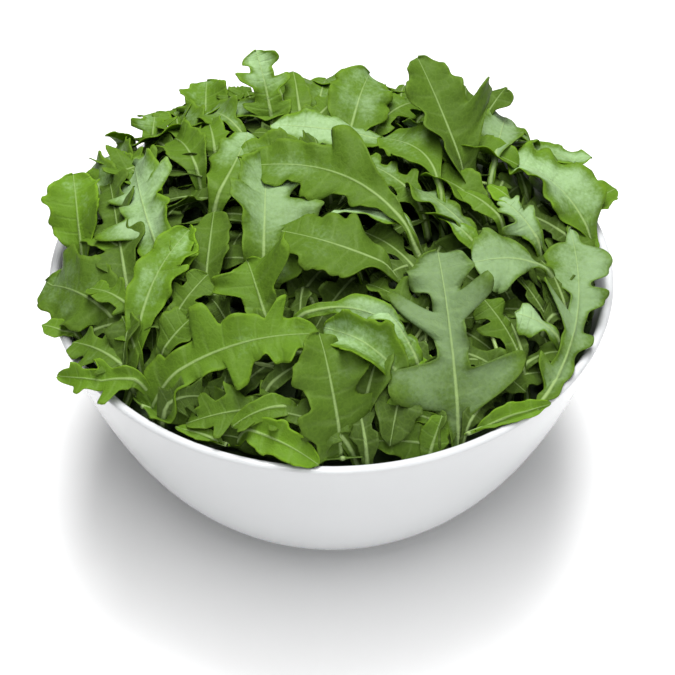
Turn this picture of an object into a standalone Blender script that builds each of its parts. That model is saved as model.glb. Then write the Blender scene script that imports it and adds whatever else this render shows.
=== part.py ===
"""A plain white bowl heaped with loose rocket leaves, in metres with +Z up.

The origin is the centre of the bowl's flat base, on the surface that it stands on, and -Y is the front.
Lengths in the lists of leaves are in millimetres, because leaves are measured that way.
"""

import math
import random
from collections import namedtuple

import bmesh
import bpy
import numpy as np
from mathutils import Vector

MM = 0.001

# Bowl: the wall follows one rounded curve from the lip down to a flat base
RIM_RADIUS = 0.120
RIM_HEIGHT = 0.116
WALL = 0.004
FLOOR = 0.005
WALL_BULGE = 3.6
WALL_SWEEP = 1.22
ROUND_STEPS = 40
INNER_STEPS = 12
OUTER_STEPS = 9
LIP_STEPS = 4

# Heap, in millimetres: leaves are placed by their lift above this smooth dome
RIM_MM = RIM_HEIGHT / MM
DOME_RADIUS = 118
DOME_RISE = 34
DOME_POWER = 3
CORE_DROP = 8
CORE_GAP = 0.8
CORE_EDGE_DEPTH = 7
CORE_SEGMENTS = 20
CORE_RINGS = 12
BUMP_HEIGHT = 2.5
BUMP_LENGTH = 26

# Leaves, in millimetres
LEAF_THICKNESS = 1.3
STEM_HALF_WIDTH = 1.4
ROOT_LENGTH = 4
ROOT_DIVE = 17
ROOT_SHARE = 0.24
FORWARD_SLANT = 0.35
DEEP_LOBE = 0.45
LOBE_SIDE = 1.2
CLOSEST_STATIONS = 0.03
BOWL_CLEARANCE = 1.6
OVER_LIP_DEPTH = 5
CUT_GAP = 0.35
WELD_WITHIN = 0.001

# A kind of leaf: its plain half width, and the lobes of its left and right edges as (place along, reach, spread)
Kind = namedtuple("Kind", "body blade_start lobes_left lobes_right")
CROSS = Kind(0.30, 0.12, ((0.27, 0.70, 0.08), (0.57, 0.52, 0.05), (0.85, 0.20, 0.12)),
             ((0.30, 0.70, 0.08), (0.62, 0.36, 0.07), (0.85, 0.20, 0.12)))
ARROW = Kind(0.34, 0.10, ((0.45, 0.60, 0.09), (0.84, 0.26, 0.11)), ((0.58, 0.60, 0.09), (0.84, 0.26, 0.11)))
OAK = Kind(0.48, 0.08, ((0.30, 0.30, 0.07), (0.60, 0.50, 0.09), (0.84, 0.20, 0.10)),
           ((0.24, 0.30, 0.07), (0.52, 0.48, 0.08), (0.80, 0.24, 0.10)))
BROAD = Kind(0.92, 0.04, ((0.38, 0.12, 0.08), (0.66, 0.12, 0.08)), ((0.48, 0.13, 0.08), (0.76, 0.10, 0.08)))
LANCE = Kind(0.90, 0.06, ((0.50, 0.10, 0.10),), ((0.42, 0.10, 0.10),))
SPOON = Kind(0.30, 0.20, ((0.72, 0.68, 0.20),), ((0.70, 0.68, 0.20),))
TRIDENT = Kind(0.34, 0.02, ((0.42, 0.66, 0.13),), ((0.42, 0.66, 0.13),))
THUMB = Kind(0.72, 0.02, ((0.30, 0.10, 0.09),), ((0.56, 0.30, 0.12),))

# A leaf: base and tip as (x, y, lift), half width, then how it bends
Leaf = namedtuple("Leaf", "name kind base tip half arch sway roll cup", defaults=(4, 0, 0, -0.1))

SHOWN_LEAVES = [
    # Front and middle
    Leaf("cross_leaf", CROSS, (49, -99, -9), (42, -38, 7), 27, 6),
    Leaf("front_broad", BROAD, (4, -105, -9), (-5, -76, 8), 17, 6),
    Leaf("front_oak", OAK, (-72, -82, -1), (-4, -70, 6), 18, 5, 5),
    Leaf("trident_leaf", TRIDENT, (-20, -60, -3), (-22, -40, 6), 20, 2),
    Leaf("centre_fold", BROAD, (26, -38, -2), (-16, -22, 5), 11, 5, 2),
    Leaf("centre_arch", LANCE, (-16, -62, -3), (24, -64, 1), 4, 9),
    Leaf("centre_low", BROAD, (32, -82, -3), (-2, -71, 4), 9, 6),
    Leaf("centre_light", LANCE, (32, -82, -3), (18, -64, 3), 6, 5),
    Leaf("dark_middle", BROAD, (34, -58, -6), (14, -46, -2), 9, 3),
    Leaf("low_left", OAK, (-12, -98, -8), (-54, -95, -3), 9, 4),
    Leaf("low_curl", LANCE, (-14, -98, -5), (-38, -103, 0), 4, 5),
    Leaf("low_flat", SPOON, (42, -98, -9), (18, -98, -4), 6, 3),
    Leaf("low_dark", BROAD, (-38, -92, -9), (-66, -89, -5), 9, 2),
    Leaf("rim_front", LANCE, (-28, -103, -5), (-4, -113, 0), 5, 2),
    Leaf("middle_right", SPOON, (74, -68, -7), (60, -48, -1), 10, 3),
    Leaf("right_low_twist", LANCE, (54, -95, -7), (80, -83, 5), 4, 3),
    Leaf("small_middle", SPOON, (-20, -67, -4), (-38, -67, 0), 7, 3),
    # Left
    Leaf("left_tip", ARROW, (-72, -78, -1), (-108, -72, 5), 8, 3),
    Leaf("left_diagonal", BROAD, (-76, -68, -2), (-55, -42, 7), 10, 3, 3),
    Leaf("bright_peak", BROAD, (-64, -46, -3), (-56, -23, 6), 8, 3),
    Leaf("left_round", BROAD, (-82, -38, -3), (-114, -14, 6), 17, 4),
    Leaf("left_strip", LANCE, (-80, -24, -1), (-111, 4, 6), 5, 3),
    Leaf("left_bright", BROAD, (-97, -2, -3), (-112, 30, 18), 12, 3),
    Leaf("left_grey", BROAD, (-94, 20, -3), (-106, 45, 9), 9, 3),
    Leaf("left_lobed", ARROW, (-64, -30, -1), (-82, 35, 4), 20, 4, 3),
    Leaf("left_dark", LANCE, (-82, -25, -5), (-96, 30, 2), 10, 3),
    Leaf("left_small", SPOON, (-77, -62, -4), (-96, -55, 3), 8, 3),
    Leaf("left_middle", LANCE, (-50, -46, -7), (-48, -6, 0), 9, 3),
    Leaf("centre_left", CROSS, (-27, -41, -1), (-27, 12, 4), 20, 4),
    # Back
    Leaf("rib_leaf", SPOON, (-50, 2, -2), (-38, 50, 3), 9, 3, -3),
    Leaf("top_upright", OAK, (-27, 62, -4), (-33, 84, 30), 12, 2),
    Leaf("top_broad", BROAD, (7, 42, -4), (18, 80, 15), 13, 3),
    Leaf("top_left", BROAD, (-54, 80, -3), (-57, 99, 19), 10, 2),
    Leaf("top_far_left", BROAD, (-76, 68, -3), (-81, 81, 12), 9, 2),
    Leaf("top_middle", LANCE, (28, 32, -2), (-17, 54, 4), 9, 4, 3),
    Leaf("dark_centre", BROAD, (0, 2, -3), (-8, 40, 4), 9, 3),
    # Right
    Leaf("big_arched", BROAD, (33, -34, -1), (-8, 11, 3), 14, 7, 6, 0, -0.3),
    Leaf("arched_middle", BROAD, (46, -10, -3), (26, 42, 2), 10, 9, -4),
    Leaf("dark_tall", THUMB, (58, 16, -3), (37, 60, 35), 17, 2),
    Leaf("dark_finger", LANCE, (66, 40, -3), (66, 82, 17), 7, 2),
    Leaf("spoon_back", SPOON, (70, 58, -3), (85, 79, 25), 7, 2),
    Leaf("grey_upright", OAK, (65, 14, -3), (76, 70, 12), 11, 3),
    Leaf("big_right", BROAD, (108, -9, 1), (79, 37, 4), 18, 6, -5),
    Leaf("middle_dark", OAK, (62, -22, -4), (34, 5, 2), 13, 4),
    Leaf("light_small", OAK, (82, -20, -3), (72, -2, 4), 12, 3),
    Leaf("curled_roll", BROAD, (86, -30, 0), (57, -37, 4), 12, 5, 0, 0, -0.5),
    Leaf("rim_right", ARROW, (81, -78, -5), (101, -4, 6), 13, 3, -7),
]

# Leaves on the far side, placed by a rule: an outer row over the rim, then a row above it
BACK_ROWS = ((13, 84), (6, 58))
BACK_FIRST_ANGLE = -35
BACK_LAST_ANGLE = 200
BACK_SCATTER = 8
BACK_LENGTH = (32, 44)
BACK_HALF_WIDTH = (8, 12)
BACK_LIFT = (1, 6)
BACK_TURN = 60
BACK_SEED = 11

WHITE_GLAZE = (0.80, 0.81, 0.83, 1.0)
ROCKET_GREEN = (0.13, 0.27, 0.035, 1.0)


def clear_scene():
    for obj in list(bpy.data.objects):
        bpy.data.objects.remove(obj, do_unlink=True)


def new_collection(name):
    collection = bpy.data.collections.new(name)
    bpy.context.scene.collection.children.link(collection)
    return collection


def new_material(name, colour, roughness):
    material = bpy.data.materials.new(name)
    material.use_nodes = True
    shader = material.node_tree.nodes["Principled BSDF"]
    shader.inputs["Base Color"].default_value = colour
    shader.inputs["Roughness"].default_value = roughness
    shader.inputs["Metallic"].default_value = 0.0
    return material


def new_object(name, mesh, collection):
    obj = bpy.data.objects.new(name, mesh)
    collection.objects.link(obj)
    return obj


def wall_point(angle, radius, depth):
    """A point of the bowl's curve as (radius, depth below the rim): angle 0 is the lip, a quarter turn the axis."""
    across = max(math.cos(angle), 0.0) ** (2 / WALL_BULGE)
    down = math.sin(angle) ** (2 / WALL_SWEEP)
    return radius * across, depth * down


def wall_radius(depth, radius, full_depth):
    """The radius of the same curve at a depth below the rim."""
    share = min(max(depth / full_depth, 0.0), 1.0)
    return radius * (1 - share**WALL_SWEEP) ** (1 / WALL_BULGE)


def angle_at_depth(depth, full_depth):
    return math.asin((depth / full_depth) ** (WALL_SWEEP / 2))


def bowl_profile(grow):
    """The bowl's section from the middle of its floor, up the inside, over the lip and down the outside.

    grow thickens it all round, for the copy that trims the leaves.
    """
    inner_radius = RIM_RADIUS - WALL
    inner_depth = RIM_HEIGHT - FLOOR
    lip_radius = WALL / 2
    lip_top = RIM_HEIGHT - lip_radius
    profile = []
    for step in range(INNER_STEPS):
        angle = math.pi / 2 + (angle_at_depth(lip_radius, inner_depth) - math.pi / 2) * step / INNER_STEPS
        across, down = wall_point(angle, inner_radius - grow, inner_depth - grow)
        profile.append((across, RIM_HEIGHT - down))
    for step in range(LIP_STEPS + 1):
        turn = math.pi * (1 - step / LIP_STEPS)
        across = RIM_RADIUS - lip_radius + (lip_radius + grow) * math.cos(turn)
        profile.append((across, lip_top + (lip_radius + grow) * math.sin(turn)))
    first = angle_at_depth(lip_radius, RIM_RADIUS)
    last = angle_at_depth(RIM_HEIGHT, RIM_RADIUS)
    for step in range(1, OUTER_STEPS + 1):
        angle = first + (last - first) * step / OUTER_STEPS
        across, down = wall_point(angle, RIM_RADIUS, RIM_RADIUS)
        profile.append((across + grow, RIM_HEIGHT - down))
    profile[0] = (0.0, FLOOR + grow)
    profile[-1] = (profile[-1][0], 0.0)
    profile.append((0.0, 0.0))
    return profile


def turned_bowl(name, collection, grow=0.0):
    profile = bowl_profile(grow)
    mesh = bpy.data.meshes.new(name)
    points = [(across, 0.0, height) for across, height in profile]
    edges = [(index, index + 1) for index in range(len(points) - 1)]
    mesh.from_pydata(points, edges, [])
    bowl = new_object(name, mesh, collection)
    screw = bowl.modifiers.new("Turn", "SCREW")
    screw.axis = "Z"
    screw.steps = ROUND_STEPS
    screw.render_steps = ROUND_STEPS
    screw.use_merge_vertices = True
    screw.merge_threshold = 1e-5
    screw.use_smooth_shade = True
    return bowl


def dome_height(x, y):
    """Height of the smooth dome that the leaves lie on, in millimetres."""
    share = np.minimum(np.hypot(x, y) / DOME_RADIUS, 1.0)
    return RIM_MM + DOME_RISE * (1 - share**DOME_POWER)


def dome_normal(x, y):
    away = np.hypot(x, y)
    share = np.minimum(away / DOME_RADIUS, 1.0)
    slope = DOME_RISE * DOME_POWER * share ** (DOME_POWER - 1) / DOME_RADIUS
    steep = slope / np.maximum(away, 1e-6)
    normal = np.stack([steep * x, steep * y, np.ones_like(x)], axis=-1)
    return normal / np.linalg.norm(normal, axis=-1, keepdims=True)


def edge_width(kind, lobes, along):
    """Half width of one side of a leaf as a share of its greatest."""
    blade = np.clip((along - kind.blade_start) / 0.22, 0.0, 1.0)
    blade = blade * blade * (3 - 2 * blade)
    width = kind.body * blade
    for place, reach, spread in lobes:
        width = width + reach * np.exp(-np.abs((along - place) / spread) ** 2.4)
    tip_share = np.clip((along - 0.72) / 0.28, 0.0, 1.0)
    return width * np.sqrt(np.maximum(1 - tip_share**2.6, 0.0))


def leaf_surface(leaf, along, across, phase):
    """Points of the leaf's blade: along runs 0 to 1 from stem to tip, and across -1 to 1 from right to left."""
    base = np.array(leaf.base, float)
    tip = np.array(leaf.tip, float)
    reach = tip[:2] - base[:2]
    heading = reach / np.linalg.norm(reach)
    leftward = np.array([-heading[1], heading[0]])
    start = base[:2] - heading * ROOT_LENGTH

    def spine(t):
        t = t[:, None]
        plan = start + (tip[:2] - start) * t + leaf.sway * np.sin(np.pi * t) * leftward
        root = np.clip(1 - t[:, 0] / ROOT_SHARE, 0.0, None)
        lift = base[2] + (tip[2] - base[2]) * t[:, 0] + leaf.arch * np.sin(np.pi * t[:, 0]) - ROOT_DIVE * root**2
        return np.column_stack([plan, dome_height(plan[:, 0], plan[:, 1]) + lift])

    points = spine(along)
    ahead = spine(along + 0.01) - spine(along - 0.01)
    ahead /= np.linalg.norm(ahead, axis=1, keepdims=True)
    left = np.cross(dome_normal(points[:, 0], points[:, 1]), ahead)
    left /= np.linalg.norm(left, axis=1, keepdims=True)
    up = np.cross(ahead, left)
    roll = math.radians(leaf.roll)
    left, up = left * math.cos(roll) + up * math.sin(roll), up * math.cos(roll) - left * math.sin(roll)

    left_width = STEM_HALF_WIDTH + leaf.half * edge_width(leaf.kind, leaf.kind.lobes_left, along)
    right_width = STEM_HALF_WIDTH + leaf.half * edge_width(leaf.kind, leaf.kind.lobes_right, along)
    side = np.asarray(across)[None, :]
    out = np.where(side > 0, side * left_width[:, None], side * right_width[:, None])
    slant = FORWARD_SLANT * np.clip((1 - along) / 0.25, 0.0, 1.0)[:, None]
    wave = 0.10 * np.abs(out) * np.sin(9.0 * along[:, None] + phase + 1.7 * np.sign(side))
    rise = leaf.cup * out**2 / leaf.half + wave
    surface = points[:, None] + ahead[:, None] * (slant * np.abs(out))[..., None]
    return surface + left[:, None] * out[..., None] + up[:, None] * rise[..., None]


def clear_of_bowl(points):
    """Moves points up off the lip, or in from the wall."""
    moved = points.copy()
    away = np.hypot(points[..., 0], points[..., 1])
    lip_height = RIM_MM + BOWL_CLEARANCE
    lip_inside = (RIM_RADIUS - WALL) / MM - BOWL_CLEARANCE
    over_lip = (away > lip_inside) & (points[..., 2] > RIM_MM - OVER_LIP_DEPTH)
    moved[..., 2] = np.where(over_lip, np.maximum(points[..., 2], lip_height), points[..., 2])
    for index in np.ndindex(away.shape):
        if over_lip[index]:
            continue
        depth = RIM_MM - moved[index][2]
        widest = wall_radius(depth, RIM_RADIUS / MM - WALL / MM, RIM_MM - FLOOR / MM) - BOWL_CLEARANCE
        if away[index] > widest:
            moved[index][:2] *= widest / away[index]
    return moved


def leaf_stations(kind):
    """Places along a leaf where its outline turns: the lobes and their sides, the root and the tip."""
    places = [0.0, 0.12, 0.92, 1.0]
    if len(kind.lobes_left) == 1:
        places += [0.40, 0.62]
    for place, reach, spread in kind.lobes_left:
        places.append(place)
        if reach >= DEEP_LOBE:
            places += [place - LOBE_SIDE * spread, place + LOBE_SIDE * spread]
    places.sort()
    kept = [place for place, after in zip(places, places[1:]) if after - place > CLOSEST_STATIONS]
    return np.array(kept + [1.0])


def leaf_object(leaf, collection, phase):
    along = leaf_stations(leaf.kind)
    across = np.array([-1.0, 0.0, 1.0])
    surface = clear_of_bowl(leaf_surface(leaf, along, across, phase)) * MM
    sheet = bmesh.new()
    bmesh.ops.create_grid(sheet, x_segments=len(across) - 1, y_segments=len(along) - 1, size=1.0)
    for vertex in sheet.verts:
        column = round((vertex.co.x + 1) / 2 * (len(across) - 1))
        row = round((vertex.co.y + 1) / 2 * (len(along) - 1))
        vertex.co = Vector(surface[row, column])
    mesh = bpy.data.meshes.new(leaf.name)
    bmesh.ops.triangulate(sheet, faces=sheet.faces[:])
    sheet.to_mesh(mesh)
    sheet.free()
    obj = new_object(leaf.name, mesh, collection)
    solidify = obj.modifiers.new("Thickness", "SOLIDIFY")
    solidify.thickness = LEAF_THICKNESS * MM
    solidify.offset = 0.0
    return obj


def back_leaves():
    """Leaves for the far side, at even angles and with seeded sizes."""
    draw = random.Random(BACK_SEED)
    kinds = (BROAD, OAK, LANCE, SPOON)
    for row, (count, radius) in enumerate(BACK_ROWS):
        for number in range(count):
            share = (number + 0.5) / count
            angle = math.radians(BACK_FIRST_ANGLE + (BACK_LAST_ANGLE - BACK_FIRST_ANGLE) * share)
            away = radius + draw.uniform(-BACK_SCATTER, BACK_SCATTER)
            heading = angle + math.radians(draw.uniform(-BACK_TURN, BACK_TURN))
            length = draw.uniform(*BACK_LENGTH)
            base = (away * math.cos(angle), away * math.sin(angle), -3)
            tip_x = base[0] + length * math.cos(heading)
            tip_y = base[1] + length * math.sin(heading)
            tip_away = math.hypot(tip_x, tip_y)
            reach = min(1.0, DOME_RADIUS / tip_away)
            tip = (tip_x * reach, tip_y * reach, draw.uniform(*BACK_LIFT))
            kind = kinds[number % len(kinds)]
            yield Leaf(f"back_leaf_{row}_{number}", kind, base, tip, draw.uniform(*BACK_HALF_WIDTH))


def core_mesh():
    """The close-packed inside of the heap: it fits the bowl below, and its top has bumps the size of leaves."""
    inner_radius = (RIM_RADIUS - WALL) / MM - CORE_GAP
    inner_depth = (RIM_HEIGHT - FLOOR) / MM - CORE_GAP
    edge_angle = angle_at_depth(CORE_EDGE_DEPTH, inner_depth)
    edge_radius, _ = wall_point(edge_angle, inner_radius, inner_depth)
    ball = bmesh.new()
    bmesh.ops.create_uvsphere(ball, u_segments=CORE_SEGMENTS, v_segments=CORE_RINGS, radius=1.0)
    for vertex in ball.verts:
        turn = math.atan2(vertex.co.y, vertex.co.x)
        tilt = math.acos(max(-1.0, min(1.0, vertex.co.z))) / (math.pi / 2)
        if tilt <= 1.0 + 1e-6:
            away = edge_radius * tilt
            x, y = away * math.cos(turn), away * math.sin(turn)
            bumps = BUMP_HEIGHT * math.sin(x / BUMP_LENGTH * 3.0) * math.cos(y / BUMP_LENGTH * 3.0)
            top = dome_height(x, y) - CORE_DROP + bumps * (1 - tilt**2)
            edge = RIM_MM - CORE_EDGE_DEPTH
            vertex.co = (x, y, top + (edge - top) * tilt**8)
        else:
            angle = edge_angle + (math.pi / 2 - edge_angle) * (tilt - 1)
            away, depth = wall_point(angle, inner_radius, inner_depth)
            vertex.co = (away * math.cos(turn), away * math.sin(turn), RIM_MM - depth)
    bmesh.ops.scale(ball, vec=(MM, MM, MM), verts=ball.verts)
    bmesh.ops.triangulate(ball, faces=ball.faces[:])
    mesh = bpy.data.meshes.new("rocket_leaves")
    ball.to_mesh(mesh)
    ball.free()
    return mesh


def apply_modifiers(obj):
    graph = bpy.context.evaluated_depsgraph_get()
    finished = bpy.data.meshes.new_from_object(obj.evaluated_get(graph))
    obj.modifiers.clear()
    obj.data = finished


def add_boolean(obj, name, operation, operand):
    boolean = obj.modifiers.new(name, "BOOLEAN")
    boolean.operation = operation
    boolean.solver = "MANIFOLD"
    if isinstance(operand, bpy.types.Collection):
        boolean.operand_type = "COLLECTION"
        boolean.collection = operand
    else:
        boolean.object = operand


def keep_largest_shell(obj):
    """Drops loose scraps, and the inner shells of hollows that fusing sealed, which fills them."""
    shape = bmesh.new()
    shape.from_mesh(obj.data)
    bmesh.ops.triangulate(shape, faces=shape.faces[:])
    bmesh.ops.remove_doubles(shape, verts=shape.verts[:], dist=WELD_WITHIN * MM)
    bmesh.ops.dissolve_degenerate(shape, edges=shape.edges[:], dist=WELD_WITHIN * MM)
    unseen = set(shape.faces)
    shells = []
    while unseen:
        front = [unseen.pop()]
        shell = list(front)
        while front:
            face = front.pop()
            for edge in face.edges:
                if len(edge.link_faces) != 2:
                    continue
                for other in edge.link_faces:
                    if other in unseen:
                        unseen.remove(other)
                        front.append(other)
                        shell.append(other)
        shells.append(shell)
    shells.sort(key=len)
    loose = [face for shell in shells[:-1] for face in shell]
    bmesh.ops.delete(shape, geom=loose, context="FACES")
    shape.to_mesh(obj.data)
    shape.free()


def remove_collection(collection):
    for obj in list(collection.objects):
        bpy.data.objects.remove(obj, do_unlink=True)
    bpy.data.collections.remove(collection)


def main():
    clear_scene()
    salad = new_collection("rocket_salad_bowl")
    helpers = new_collection("helpers")
    leaves = new_collection("leaves_to_join")

    bowl = turned_bowl("bowl", salad)
    bowl.data.materials.append(new_material("white_glaze", WHITE_GLAZE, 0.22))

    for number, leaf in enumerate([*SHOWN_LEAVES, *back_leaves()]):
        leaf_object(leaf, leaves, phase=1.3 * number)
    heap = new_object("rocket_leaves", core_mesh(), salad)
    add_boolean(heap, "Join leaves", "UNION", leaves)
    apply_modifiers(heap)
    remove_collection(leaves)

    trimmer = turned_bowl("bowl_with_gap", helpers, grow=CUT_GAP * MM)
    trimmer.hide_render = True
    trimmer.display_type = "WIRE"
    add_boolean(heap, "Clear the bowl", "DIFFERENCE", trimmer)
    apply_modifiers(heap)
    keep_largest_shell(heap)
    heap.data.materials.clear()
    heap.data.materials.append(new_material("rocket_leaf", ROCKET_GREEN, 0.5))


main()
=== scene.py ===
"""Looks for a white glazed bowl heaped with loose rocket leaves.

Every leaf is a surface worked out from its own base, tip and kind of outline. Lengths in the lists of leaves
are in millimetres, as leaves are measured, and each finished mesh is in metres.
"""

import math
import random
from collections import namedtuple

import bpy
import numpy as np
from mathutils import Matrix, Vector


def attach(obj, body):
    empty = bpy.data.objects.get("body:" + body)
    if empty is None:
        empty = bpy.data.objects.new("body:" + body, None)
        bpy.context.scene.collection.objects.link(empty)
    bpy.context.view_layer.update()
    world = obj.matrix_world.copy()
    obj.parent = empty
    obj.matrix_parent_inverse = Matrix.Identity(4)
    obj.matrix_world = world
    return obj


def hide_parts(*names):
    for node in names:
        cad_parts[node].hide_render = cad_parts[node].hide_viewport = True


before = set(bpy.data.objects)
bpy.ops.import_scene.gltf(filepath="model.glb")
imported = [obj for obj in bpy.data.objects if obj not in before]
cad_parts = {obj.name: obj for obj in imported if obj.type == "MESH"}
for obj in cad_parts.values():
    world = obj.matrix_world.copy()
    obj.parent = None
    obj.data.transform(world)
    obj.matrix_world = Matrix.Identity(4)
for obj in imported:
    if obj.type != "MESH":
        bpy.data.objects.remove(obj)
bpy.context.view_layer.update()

MM = 0.001

# Keeps a division by a length clear of zero
TINY = 1e-9

# Bowl, in millimetres: one rounded curve from the lip to a flat base
RIM_RADIUS = 120
RIM_HEIGHT = 116
WALL = 4
FLOOR = 5
WALL_BULGE = 3.6
WALL_SWEEP = 1.22
BASE_EDGE = 1.2

# Steps round the bowl and along each stretch of its section, and how its rings crowd together
ROUND_STEPS = 256
WALL_STEPS = 44
FLOOR_STEPS = 10
LIP_STEPS = 12
EDGE_STEPS = 5
BASE_STEPS = 8
INSIDE_CROWDING = 1.6
OUTSIDE_CROWDING = 1.3

# Radius of the small ring at the axis, which a cap closes, in millimetres
AXIS_RING = 0.05

# Heap, in millimetres: leaves are placed by their lift above this smooth dome
DOME_RADIUS = 118
DOME_RISE = 34
DOME_POWER = 3

# Core of the heap, in millimetres: a lowered dome with bumps as (length, sway, length of the sway)
CORE_DROP = 25
CORE_GAP = 0.8
CORE_EDGE_DEPTH = 13
CORE_BUMP = 2.2
CORE_BUMPS_ACROSS = (7.0, 1.3, 9.0)
CORE_BUMPS_ALONG = (6.0, 1.1, 8.0)
CORE_BUMP_FADE = 6
CORE_EDGE_TURN = 10
CORE_CROWDING = 0.8
CORE_FIRST_SHARE = 0.3
CORE_ROUND_STEPS = 96
CORE_TOP_STEPS = 30
CORE_SIDE_STEPS = 20

# Blade of a leaf, in millimetres: its thickness, and the midrib's added thickness and half width
BLADE_THICKNESS = 0.45
RIB_THICKNESS = 1.3
RIB_TAPER = 0.9
RIB_LEAST_HALF = 0.5
RIB_ADDED_HALF = 0.9
STEM_HALF_WIDTH = 1.7
STEM_TAPER = 0.85

# Root of a leaf, in millimetres: it starts behind the base and dives into the heap over a share of the length
ROOT_LENGTH = 4
ROOT_DIVE = 17
ROOT_SHARE = 0.24

# Grid of a leaf: spacing of its rows in millimetres, its columns, and how they crowd towards the midrib
ROW_SPACING = 0.75
LEAST_ROWS = 14
COLUMNS = 21
COLUMN_CROWDING = 1.25
SPINE_STEP = 0.01

# Outline of a leaf: the shape of its lobes and tip, and how far its rows lean forward
LOBE_ROUNDNESS = 6
TIP_ROUNDNESS = 2.4
BASE_SLANT = 0.3
SLANT_FADE = 0.25
ROW_BEND = 1.6

# Scallops and teeth of a leaf's edge: lengths in millimetres, depths and heights as shares of its half width
SCALLOP_LENGTHS = (9, 14, 23)
SCALLOP_DEPTH = 0.025
TOOTH_SPACING = 11
TOOTH_WIDTH = 2.0
TOOTH_HEIGHT = (0.02, 0.09)
TOOTH_PLACES = (0.2, 0.96)

# Side veins for each lobe of an edge
VEINS_PER_LOBE = 2

# Bends of a leaf: angles in degrees, and each side's shift of phase in radians
ROLL_SPREAD = 20
TWIST = 45
TWIST_PLACE = 0.4
FOLD = (0.05, 0.6)
FOLD_ROUNDING = 2.0
FOLD_START = 1.4
CUP_SPREAD = 0.15
WAVE = 0.2
WAVE_TURN = 9.0
WAVE_SIDE_SHIFT = 1.7
RUFFLE = 0.09
RUFFLE_LENGTH = 15
RUFFLE_SIDE_SHIFT = 2.1

# Room between the leaves and the bowl, in millimetres, and where a leaf counts as hanging over the lip
BOWL_CLEARANCE = 1.2
LIP_SLOPE = 0.9
LIP_ZONE = 8
LIP_DEPTH = 5

# Values that the leaf material reads: lightness from base to tip, darkened at the base as painted shade where
# the leaf lies buried, and the midrib's width from tip to base
SHADE_CONTRAST = 1.6
SHADE_AT_BASE = 0.78
SHADE_GAIN = 0.3
RIB_MARK_AT_TIP = 0.26
RIB_MARK_GAIN = 0.84
RIB_MARK_FALL = 1.6
VALUE_NAMES = ("tone", "shade", "edge", "rib", "under")

# A lobe of a leaf's edge: its place along the leaf, its reach and spread, and how far it leans forward
Lobe = namedtuple("Lobe", "place reach spread lean", defaults=(0.4,))

# A kind of leaf: its plain half width, where its blade starts and how slowly it widens, where its tip starts
# to close, and the lobes of its left and right edges
Kind = namedtuple("Kind", "body blade_start flare tip_start left right")

CROSS = Kind(0.20, 0.08, 0.2, 0.80,
             (Lobe(0.06, 0.06, 0.15, 0.0), Lobe(0.28, 0.80, 0.08, 0.0), Lobe(0.54, 0.62, 0.052, 0.9),
              Lobe(0.86, 0.32, 0.13, 0.0)),
             (Lobe(0.06, 0.06, 0.15, 0.0), Lobe(0.25, 0.90, 0.065, 0.45), Lobe(0.62, 0.50, 0.06, 0.6),
              Lobe(0.87, 0.30, 0.12, 0.0)))
HALF_CROSS = Kind(0.44, -0.5, 1.0, 0.80,
                  (Lobe(0.48, 0.26, 0.10, 0.3), Lobe(0.76, 0.14, 0.12, 0.0)),
                  (Lobe(0.14, 0.42, 0.06, 0.1), Lobe(0.46, 0.56, 0.095, 0.0), Lobe(0.76, 0.12, 0.12, 0.0)))
DART = Kind(0.36, 0.04, 0.3, 0.82,
            (Lobe(0.46, 0.64, 0.06, 0.3), Lobe(0.80, 0.26, 0.13, 0.0)),
            (Lobe(0.44, 0.14, 0.08, 0.2), Lobe(0.66, 0.46, 0.04, 0.4), Lobe(0.84, 0.22, 0.10, 0.0)))
SAW = Kind(0.72, 0.0, 0.4, 0.62,
           (Lobe(0.55, 0.12, 0.06),),
           (Lobe(0.60, 0.34, 0.035, 0.9), Lobe(0.76, 0.34, 0.035, 0.9)))
FEATHER = Kind(0.22, 0.0, 0.2, 0.72,
               (Lobe(0.20, 0.40, 0.03, 0.9), Lobe(0.46, 0.90, 0.04, 0.9), Lobe(0.76, 0.62, 0.13, 0.1)),
               (Lobe(0.40, 0.30, 0.04, 0.6), Lobe(0.60, 0.55, 0.05, 0.5), Lobe(0.80, 0.62, 0.10, 0.1)))
ARROW = Kind(0.36, 0.04, 0.25, 0.70,
             (Lobe(0.40, 0.66, 0.065), Lobe(0.74, 0.22, 0.05, 0.5)),
             (Lobe(0.50, 0.50, 0.06, 0.5), Lobe(0.78, 0.24, 0.05, 0.5)))
OAK = Kind(0.36, 0.02, 0.22, 0.74,
           (Lobe(0.24, 0.44, 0.055), Lobe(0.56, 0.56, 0.075), Lobe(0.86, 0.26, 0.10, 0.0)),
           (Lobe(0.20, 0.36, 0.05), Lobe(0.48, 0.58, 0.07), Lobe(0.82, 0.30, 0.10, 0.1)))
LONG_OAK = Kind(0.36, -0.16, 0.2, 0.80,
                (Lobe(0.13, 0.24, 0.04, 0.2), Lobe(0.40, 0.62, 0.06, 0.0), Lobe(0.58, 0.16, 0.10, 0.0),
                 Lobe(0.74, 0.50, 0.035, 0.5)),
                (Lobe(0.10, 0.26, 0.06, 0.0), Lobe(0.52, 0.54, 0.06, -0.2), Lobe(0.78, 0.24, 0.08, 0.0)))
RAGGED = Kind(0.38, 0.02, 0.25, 0.72,
              (Lobe(0.24, 0.38, 0.05), Lobe(0.46, 0.50, 0.05, 0.5), Lobe(0.68, 0.42, 0.05, 0.5)),
              (Lobe(0.32, 0.46, 0.05), Lobe(0.56, 0.50, 0.05, 0.5), Lobe(0.78, 0.36, 0.05)))
BROAD = Kind(0.86, 0.0, 0.42, 0.45,
             (Lobe(0.34, 0.12, 0.045), Lobe(0.62, 0.16, 0.045)),
             (Lobe(0.44, 0.16, 0.045), Lobe(0.76, 0.14, 0.045)))
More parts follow.
